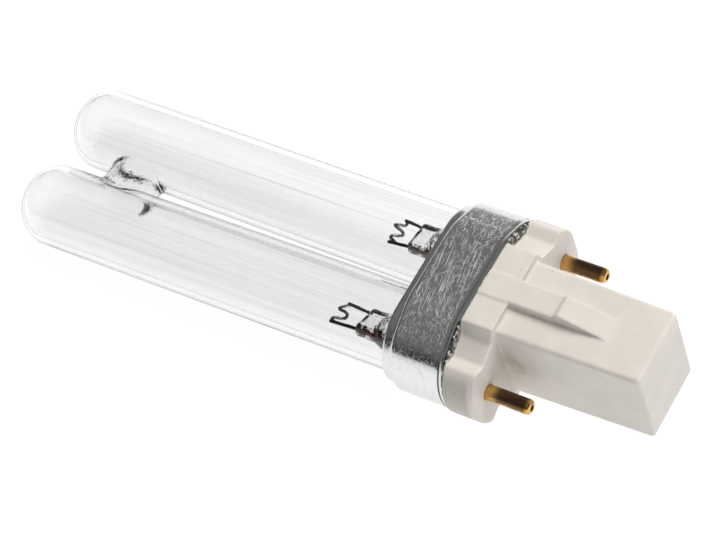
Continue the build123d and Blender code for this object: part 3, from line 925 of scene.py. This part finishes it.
def key_blank(level):
    """The keying rib and the snap tooth on one wide face; level is 1 above and -1 below."""
    ribs = []
    for profile, half in (
            ([(-5.0, 7.0), (-5.0, 9.3), (6.7, 9.3), (6.7, 7.0)], 1.95),
            ([(5.7, 7.0), (6.75, 9.2), (7.75, 9.95), (15.1, 7.73), (15.1, 7.0)], 1.8)):
        rings = [[(x, y, level * z) for x, z in profile] for y in (-half, half)]
        ribs.append(rings_mesh("key", rings))
    return ribs


class LAMP_OT_cap(bpy.types.Operator):
    """Makes the cap's moulding: skirt, grooved shoulder, keyed post with its snap teeth, and the hollow inside"""
    bl_idname = "lamp.cap"
    bl_label = "Cap moulding"

    def execute(self, context):
        cap = settings()[2]
        inner = even_loop([(6.7, 9.05), (12.2, 6.45)], BAND_SIDE - 0.3, 240, 1.2)
        shape = prism("cap_moulding", inner.tolist(), -10.0, -4.9)
        for part in [shoulder_blank(), post_blank()] + key_blank(1) + key_blank(-1):
            shape = join(shape, part)
        hollow = even_loop([(5.2, 7.55), (10.7, 4.95)], BAND_SIDE - 1.8, 120)
        tools = [prism("skirt_space", hollow.tolist(), -11.0, -5.0),
                 prism("lobe_space", box_loop(CAP_SIDE - CAP_WALL, 3.9, 2.4), -5.5, -1.6),
                 block("middle_space", (-5.5, -5.2, -7.55), (-1.6, 5.2, 7.55)),
                 post_blank(POST_WALL, -2.0, POST_END_X - POST_WALL)]
        pin_hole = [(-5.0, 1.52), (-1.0, 1.52), (-1.0, 1.2), (1.0, 1.2)]
        tools += [lathe("pin_hole", pin_hole, side * PIN_Y, 32) for side in (LEFT, RIGHT)]
        even_skin(shape, cap.voxel, 3)
        for tool in tools:
            shape = cut(shape, tool)
        settle(shape, "cap_plastic", "cap_housing")
        return {"FINISHED"}


class LAMP_OT_pins(bpy.types.Operator):
    """Makes the two tubular brass pins with rounded, pierced tips"""
    bl_idname = "lamp.pins"
    bl_label = "Contact pins"

    def execute(self, context):
        tip = PIN_TIP_X
        bend = tip - PIN_ROUNDING
        profile = [(-3.9, 0.8), (-3.9, PIN_FLANGE_RADIUS), (-3.4, PIN_FLANGE_RADIUS), (-3.4, 1.5), (-1.02, 1.5),
                   (-1.0, PIN_RADIUS)]
        profile += [(x, PIN_RADIUS) for x in np.linspace(-0.6, bend, 11)]
        profile += [(bend + PIN_ROUNDING * math.sin(a), 0.53 + PIN_ROUNDING * math.cos(a))
                    for a in np.linspace(0.15, math.pi / 2, 8)]
        profile += [(tip - 0.02, 0.5), (tip - 0.1, 0.47), (tip - 0.6, 0.46), (tip - 0.7, 0.75)]
        profile += [(x, 0.75) for x in np.linspace(tip - 1.0, -3.5, 6)]
        for side in (LEFT, RIGHT):
            pin = lathe(SIDE_NAMES[side] + "_brass_pin", profile, side * PIN_Y, 64, closed=True)
            settle(pin, "pin_brass", SIDE_NAMES[side] + "_contact_pin")
        return {"FINISHED"}


# ---------------------------------------------------------------- electrodes

# turn of each electrode about its tube's axis, in degrees
TURNS = {LEFT: 25.0, RIGHT: 14.0}
# how far each electrode stands outwards from its tube's axis once it is clear of the band, in millimetres
OUTWARDS = {LEFT: 0.9, RIGHT: 0.45}
# how much shorter each electrode stands, in millimetres
SHORTER = {LEFT: 0.0, RIGHT: 1.0}
# half the distance between an electrode's two wires: in the press, at the coil and at their ends
PRESS_HALF, COIL_HALF, END_HALF = 2.1, 2.28, 2.45
# zigzag of each emitter: along the lamp in millimetres, and across as a share of the coil's half
COIL_LINES = {
    LEFT: [(0.1, 1.02), (-0.2, 0.8), (-1.0, 0.45), (-0.75, 0.2), (0.9, 0.12), (1.25, -0.3), (0.9, -0.6),
           (-0.4, -0.62), (-0.5, -0.95), (0.5, -1.02)],
    RIGHT: [(-0.1, 1.02), (0.3, 0.86), (0.25, 0.62), (-1.1, 0.62), (-1.4, 0.35), (0.3, 0.12), (1.0, -0.12),
            (0.6, -0.4), (-0.6, -0.5), (-0.55, -0.75), (0.5, -0.85), (0.6, -1.02)],
}


def electrode_point(side, x, u, lift=0.0):
    """A point of one electrode: u across its two wires and lift square to them, in millimetres."""
    turn = math.radians(-TURNS[side])
    share = min(max((-12.5 - x) / 4.0, 0.0), 1.0)
    shift = OUTWARDS[side] * share * share * (3.0 - 2.0 * share)
    y = side * (TUBE_Y + shift) + u * math.cos(turn) - lift * math.sin(turn)
    return (x, y, u * math.sin(turn) + lift * math.cos(turn))


def electrode_ring(side, x, radius, count):
    """A ring round one electrode's middle."""
    return [electrode_point(side, x, radius * math.cos(a), radius * math.sin(a)) for a in around(count)]


def stem_mesh(side):
    """Flared stem that narrows into its flattened press, with a rounded, uneven edge."""
    rings = []
    count = 56
    press_x = -19.4
    stations = [(-22.4, 2.1, 0.55), (-22.36, 2.42, 0.82), (-22.2, 2.62, 0.98), (-21.8, 2.7, 1.04), (-21.0, 2.68, 0.96),
                (-20.2, 2.66, 1.0), (-19.6, 2.7, 1.15), (-19.0, 2.85, 1.75), (-18.4, 3.0, 2.5), (-17.8, 3.1, 3.0),
                (-16.5, 3.1, 3.1), (-14.6, 3.1, 3.1), (-13.2, 3.25, 3.25), (-11.8, 3.7, 3.7), (-10.8, 4.4, 4.4),
                (-10.2, 5.0, 5.0), (-10.02, 5.3, 5.3)]
    rng = np.random.default_rng(11 + side)
    for x, half, thick in stations:
        ring = []
        power = 0.42 if x < press_x else 1.0
        for a in around(count):
            c, s = math.cos(a), math.sin(a)
            u = half * math.copysign(abs(c) ** power, c)
            v = thick * math.copysign(abs(s) ** power, s)
            if x < press_x:
                v *= 1.0 + 0.12 * math.cos(3 * u) + 0.05 * rng.uniform(-1, 1)
            ring.append(electrode_point(side, x, u, v))
        rings.append(ring)
    inside = [(-10.02, 4.7), (-10.3, 4.4), (-10.9, 3.8), (-11.9, 3.1), (-13.2, 2.62), (-14.6, 2.45), (-17.2, 2.4),
              (-18.0, 1.6), (-18.3, 0.3)]
    rings += [electrode_ring(side, x, radius, count) for x, radius in inside]
    stem = rings_mesh(SIDE_NAMES[side] + "_glass_stem", rings)
    soften = stem.modifiers.new("soften", "SUBSURF")
    soften.levels = soften.render_levels = 1
    return baked(stem)


def exhaust_mesh(side):
    """Sealed exhaust tube inside the stem."""
    profile = [(-18.4, 0.6), (-18.4, 1.05), (-12.0, 1.05), (-9.0, 1.05), (-8.2, 0.85), (-7.85, 0.4), (-7.8, 0.02),
               (-8.8, 0.02), (-8.9, 0.6)]
    rings = [electrode_ring(side, x, radius, 32) for x, radius in profile]
    return rings_mesh(SIDE_NAMES[side] + "_exhaust", rings, closed=True)


def line_through(name, points, sections):
    """A smooth line through points in millimetres, in so many steps from point to point."""
    curve = bpy.data.curves.new(name, "CURVE")
    curve.dimensions = "3D"
    curve.resolution_u = sections
    spline = curve.splines.new("NURBS")
    spline.points.add(len(points) - 1)
    for knot, place in zip(spline.points, points):
        knot.co = (*(c * MM for c in place), 1.0)
    spline.order_u = 3
    spline.use_endpoint_u = True
    line = bpy.data.objects.new(name + "_line", curve)
    bpy.context.scene.collection.objects.link(line)
    return line


def made_from(line, name):
    """The piece that a line's bevel or winding gives; the line is used up."""
    bpy.context.view_layer.update()
    mesh = bpy.data.meshes.new_from_object(line.evaluated_get(bpy.context.evaluated_depsgraph_get()))
    bpy.data.objects.remove(line)
    mesh.name = name
    piece = bpy.data.objects.new(name, mesh)
    bpy.context.scene.collection.objects.link(piece)
    return piece


def wire_mesh(name, points, radius):
    """Round wire through points in millimetres, its bends eased and its ends flat."""
    line = line_through(name, points, 14)
    line.data.bevel_depth = radius * MM
    line.data.bevel_resolution = 3
    line.data.use_fill_caps = True
    return outward(made_from(line, name))


STEPS_PER_TURN = 12.0


def coil_tree():
    """Geometry Nodes that wind a wire round a line."""
    tree = bpy.data.node_groups.new("wound_coil", "GeometryNodeTree")
    face = tree.interface
    face.new_socket("Geometry", in_out="INPUT", socket_type="NodeSocketGeometry")
    for label, value in (("Coil radius", 0.00019), ("Pitch", 0.00017), ("Wire radius", 0.00006)):
        socket = face.new_socket(label, in_out="INPUT", socket_type="NodeSocketFloat")
        socket.default_value = value
    face.new_socket("Finish", in_out="INPUT", socket_type="NodeSocketMaterial")
    face.new_socket("Geometry", in_out="OUTPUT", socket_type="NodeSocketGeometry")

    def node(kind, inputs, **options):
        return add_node(tree, kind, options, inputs)

    given = node("NodeGroupInput", {}).outputs
    length = node("GeometryNodeCurveLength", {0: given["Geometry"]})
    turns = node("ShaderNodeMath", {0: length.outputs[0], 1: given["Pitch"]}, operation="DIVIDE")
    steps = node("ShaderNodeMath", {0: turns.outputs[0], 1: STEPS_PER_TURN}, operation="MULTIPLY")
    even = node("GeometryNodeResampleCurve", {"Curve": given["Geometry"], "Count": steps.outputs[0]})
    place = node("GeometryNodeSplineParameter", {})
    angle = node("ShaderNodeMath", {0: place.outputs["Length"], 1: given["Pitch"]}, operation="DIVIDE")
    angle = node("ShaderNodeMath", {0: angle.outputs[0], 1: 2 * math.pi}, operation="MULTIPLY")
    along = node("GeometryNodeInputTangent", {})
    side = node("GeometryNodeInputNormal", {})
    other = node("ShaderNodeVectorMath", {0: along.outputs[0], 1: side.outputs[0]}, operation="CROSS_PRODUCT")
    cosine = node("ShaderNodeMath", {0: angle.outputs[0]}, operation="COSINE")
    sine = node("ShaderNodeMath", {0: angle.outputs[0]}, operation="SINE")
    first = node("ShaderNodeVectorMath", {0: side.outputs[0], "Scale": cosine.outputs[0]}, operation="SCALE")
    second = node("ShaderNodeVectorMath", {0: other.outputs[0], "Scale": sine.outputs[0]}, operation="SCALE")
    total = node("ShaderNodeVectorMath", {0: first.outputs[0], 1: second.outputs[0]}, operation="ADD")
    offset = node("ShaderNodeVectorMath", {0: total.outputs[0], "Scale": given["Coil radius"]}, operation="SCALE")
    wound = node("GeometryNodeSetPosition", {"Geometry": even.outputs[0], "Offset": offset.outputs[0]})
    ring = node("GeometryNodeCurvePrimitiveCircle", {"Resolution": 6, "Radius": given["Wire radius"]})
    skin = node("GeometryNodeCurveToMesh", {
        "Curve": wound.outputs[0], "Profile Curve": ring.outputs[0], "Fill Caps": True})
    real = node("GeometryNodeRealizeInstances", {0: skin.outputs[0]})
    dressed = node("GeometryNodeSetMaterial", {"Geometry": real.outputs[0], "Material": given["Finish"]})
    node("NodeGroupOutput", {0: dressed.outputs[0]})
    return tree


def coil_mesh(name, points, tree, electrodes):
    """Emitter coil wound along a line of points in millimetres."""
    line = line_through(name, points, 8)
    winding = line.modifiers.new("winding", "NODES")
    winding.node_group = tree
    values = {"Coil radius": electrodes.turn_radius * MM, "Pitch": electrodes.turn_pitch * MM,
              "Wire radius": electrodes.turn_wire * MM, "Finish": finish_of("emitter_coil")}
    for item in tree.interface.items_tree:
        if item.in_out == "INPUT" and item.name in values:
            winding[item.identifier] = values[item.name]
    return made_from(line, name)


def sealed_wire(side, way, end, foot):
    """One wire's stretch inside the glass, from its end past the coil, through the press and down to its foot."""
    stations = ((end, END_HALF), (end + 2.2, COIL_HALF), (-22.7, PRESS_HALF), (-16.0, PRESS_HALF), (foot, PRESS_HALF))
    return [electrode_point(side, x, way * half) for x, half in stations]


class LAMP_OT_electrodes(bpy.types.Operator):
    """Makes both electrodes: glass stems, support wires and wound emitter coils"""
    bl_idname = "lamp.electrodes"
    bl_label = "Electrodes"

    def execute(self, context):
        electrodes = settings()[3]
        tree = coil_tree()
        for side in (LEFT, RIGHT):
            name = SIDE_NAMES[side]
            stem = stem_mesh(side)
            settle(exhaust_mesh(side), "stem_glass")
            settle(stem, "stem_glass", name + "_stem")
            starter_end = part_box(name + "_starter_lead")[1].x / MM
            end = -26.7 + SHORTER[side]
            outer = sealed_wire(side, side, end, -9.6)
            outer += [(-7.6, side * 10.6, 0.1 * side), (-5.4, side * PIN_Y, 0.0), (-3.0, side * PIN_Y, 0.0),
                      (PIN_TIP_X - 0.3, side * PIN_Y, 0.0)]
            inner = sealed_wire(side, -side, end, -9.3)
            inner += [(-6.0, side * 3.7, -1.35), (-2.9, side * 2.6, -2.1), (starter_end, side * 2.6, -2.1)]
            for kind, points, node in (("_outer_wire", outer, "_pin_lead"), ("_inner_wire", inner, "_starter_lead")):
                wire = wire_mesh(name + kind, points, electrodes.wire_radius)
                settle(wire, "support_wire", name + node)
            line = [electrode_point(side, end + 0.4 + dx, w * COIL_HALF, 0.12 * math.sin(9 * w))
                    for dx, w in COIL_LINES[side]]
            coil = coil_mesh(name + "_emitter_coil", line, tree, electrodes)
            settle(coil, "emitter_coil", name + "_filament")
        return {"FINISHED"}


class LAMP_OT_inner_parts(bpy.types.Operator):
    """Gives the hidden pieces their finishes: cement, starter, capacitor and sleeves"""
    bl_idname = "lamp.inner_parts"
    bl_label = "Inner parts"

    def execute(self, context):
        slots = {entry["node"]: entry["material_slot"] for entry in frame["record"]["subparts"]}
        for name, node in frame["nodes"].items():
            if node.hide_render:
                continue
            node.data.materials.clear()
            node.data.materials.append(finish_of(slots[name]))
        return {"FINISHED"}


# ---------------------------------------------------------------- stage

# the lamp lies on the band's lower edge and on the tubes' tips: the (x, depth) of both, in millimetres
BAND_REST, TIP_REST = (-13.8, 9.35), (-79.0, 6.3)
FLOOR_GAP = 0.01
FLOOR_REACH = 3000.0

# the photo's camera: its lens and sensor in millimetres, its place in metres and its three directions
LENS, SENSOR = 131.1, 36.0
CAMERA_PLACE = (0.143796, -0.145547, 0.305107)
CAMERA_RIGHT = (0.83898, 0.48824, -0.24029)
CAMERA_UP = (-0.30124, 0.78445, 0.54212)
CAMERA_BACK = (0.45318, -0.38244, 0.80521)


def pale_floor():
    """Matt floor that glows by itself, so that it stays even up to the picture's edges."""
    return Finish("pale_floor").surface(
        Base_Color=(0.2, 0.2, 0.2), Roughness=0.9, Emission_Color=(1.0, 1.0, 1.0), Emission_Strength=0.96,
        Specular_IOR_Level=0.0)


def soft_light(name, place, size, power, colour):
    """Square studio light aimed at the cap's shoulder, in metres; gloss and glass don't show it."""
    lamp = bpy.data.lights.new(name, "AREA")
    lamp.size = size
    lamp.energy = power
    lamp.color = colour
    holder = bpy.data.objects.new(name, lamp)
    holder.location = place
    holder.rotation_mode = "QUATERNION"
    holder.rotation_quaternion = (-Vector(place)).to_track_quat("-Z", "Y")
    holder.visible_glossy = False
    holder.visible_transmission = False
    bpy.context.scene.collection.objects.link(holder)


def studio_world(scene):
    """White low down like the floor, dark overhead, so that glass and metal get edges to reflect."""
    world = bpy.data.worlds.new("studio")
    scene.world = world
    world.use_nodes = True
    tree = world.node_tree
    tree.nodes.clear()

    def node(kind, inputs, **options):
        return add_node(tree, kind, options, inputs)

    def shades(stops):
        return node("ShaderNodeValToRGB", {0: height}, stops=stops).outputs[0]

    way = node("ShaderNodeSeparateXYZ", {0: node("ShaderNodeTexCoord", {}).outputs["Generated"]})
    height = node("ShaderNodeMath", {0: way.outputs[2], 1: 0.5, 2: 0.5}, operation="MULTIPLY_ADD").outputs[0]
    front = shades([(0.575, 1.0), (0.60, 0.02), (0.70, 0.03), (0.88, 0.16), (1.0, 0.22)])
    back = shades([(0.49, 1.0), (0.50, 0.30), (0.60, 0.20), (0.88, 0.16), (1.0, 0.22)])
    side = node("ShaderNodeMapRange", {0: way.outputs[1], 1: 0.25, 2: 0.6}, interpolation_type="SMOOTHSTEP")
    both = node("ShaderNodeMix", {0: side.outputs[0], 6: front, 7: back}, data_type="RGBA")
    sky = node("ShaderNodeBackground", {0: both.outputs[2], 1: 1.0})
    node("ShaderNodeOutputWorld", {0: sky.outputs[0]})


class LAMP_OT_stage(bpy.types.Operator):
    """Makes the pale floor, the soft studio light and the camera"""
    bl_idname = "lamp.stage"
    bl_label = "Stage"

    def execute(self, context):
        scene = context.scene
        slope = (TIP_REST[1] - BAND_REST[1]) / (BAND_REST[0] - TIP_REST[0])
        points = [(x, y, slope * (x - BAND_REST[0]) - BAND_REST[1] - FLOOR_GAP)
                  for x in (-FLOOR_REACH, FLOOR_REACH) for y in (-FLOOR_REACH, FLOOR_REACH)]
        floor = add_mesh("floor", points, [(0, 2, 3, 1)])
        floor.data.materials.append(pale_floor())
        studio_world(scene)
        soft_light("key_softbox", (0.14, 0.26, 0.52), 0.45, 4.2, (1.0, 0.985, 0.97))
        soft_light("front_softbox", (0.12, -0.6, 0.25), 0.3, 0.3, (1.0, 0.99, 0.97))
        eye = bpy.data.cameras.new("photo_camera")
        eye.sensor_width = SENSOR
        eye.lens = LENS
        eye.clip_start = 0.01
        eye.clip_end = 20.0
        camera = bpy.data.objects.new("photo_camera", eye)
        place = Matrix((CAMERA_RIGHT, CAMERA_UP, CAMERA_BACK)).transposed().to_4x4()
        place.translation = Vector(CAMERA_PLACE)
        camera.matrix_world = place
        scene.collection.objects.link(camera)
        scene.camera = camera
        scene.view_settings.view_transform = "Standard"
        return {"FINISHED"}


# ---------------------------------------------------------------- panel and start

class LAMP_PT_panel(bpy.types.Panel):
    """Lists the lamp's pieces and their sizes and colours"""
    bl_label = "Ultraviolet lamp"
    bl_idname = "LAMP_PT_panel"
    bl_space_type = "VIEW_3D"
    bl_region_type = "UI"
    bl_category = "Lamp"

    def draw(self, context):
        for group in settings():
            box = self.layout.box()
            for name in group.__annotations__:
                box.prop(group, name)
        for operator in OPERATORS:
            self.layout.operator(operator.bl_idname)


OPERATORS = (LAMP_OT_stage, LAMP_OT_glass, LAMP_OT_electrodes, LAMP_OT_band, LAMP_OT_cap, LAMP_OT_pins,
             LAMP_OT_inner_parts)
GROUPS = {"lamp_glass": LampGlass, "lamp_band": LampBand, "lamp_cap": LampCap, "lamp_electrodes": LampElectrodes}


def register():
    """Registers the groups of values, the operators and the panel."""
    for cls in (*GROUPS.values(), *OPERATORS, LAMP_PT_panel):
        bpy.utils.register_class(cls)
    for name, cls in GROUPS.items():
        setattr(bpy.types.Scene, name, bpy.props.PointerProperty(type=cls))


def unregister():
    """Takes them out again."""
    for name in GROUPS:
        delattr(bpy.types.Scene, name)
    for cls in reversed((*GROUPS.values(), *OPERATORS, LAMP_PT_panel)):
        bpy.utils.unregister_class(cls)


def main():
    """Makes the whole lamp."""
    register()
    bpy.ops.lamp.stage()
    bpy.ops.lamp.glass()
    bpy.ops.lamp.electrodes()
    bpy.ops.lamp.band()
    bpy.ops.lamp.cap()
    bpy.ops.lamp.pins()
    bpy.ops.lamp.inner_parts()


if __name__ == "__main__":
    main()
